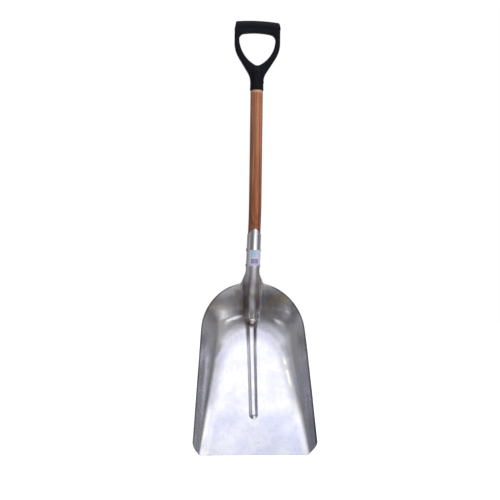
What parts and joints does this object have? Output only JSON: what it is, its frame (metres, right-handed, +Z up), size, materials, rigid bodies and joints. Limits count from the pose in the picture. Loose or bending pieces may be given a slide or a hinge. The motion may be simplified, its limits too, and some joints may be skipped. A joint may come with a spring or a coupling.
{
  "type": "grain scoop shovel",
  "caption": "Long-handled grain scoop: a wide pressed aluminium blade with raised sides, a riveted socket, a bent wooden shaft and a moulded D-grip.",
  "frame": {"origin": "on the level of the blade's lip, under the middle of the tool's box, so the lip stands at Z = 0", "axes": "+Z up along the straight upper shaft from the lip to the grip, -Y the hollow loading side of the blade, +X across the blade"},
  "size_m": [0.3344, 0.1453, 1.2001],
  "materials": {
    "aluminium": "bright mill finish with fine scratches",
    "wood": "red-brown stain under clear lacquer",
    "black_plastic": "satin",
    "rivet_steel": "dull",
    "screw_steel": "dull",
    "label": "satin printed film"
  },
  "bodies": {
    "root": {"scoop_blade": "aluminium", "shaft": "wood", "d_grip": "black_plastic", "upper_socket_rivet": "rivet_steel", "lower_socket_rivet": "rivet_steel", "grip_screw": "screw_steel", "product_label": "label"}
  },
  "joints": []
}
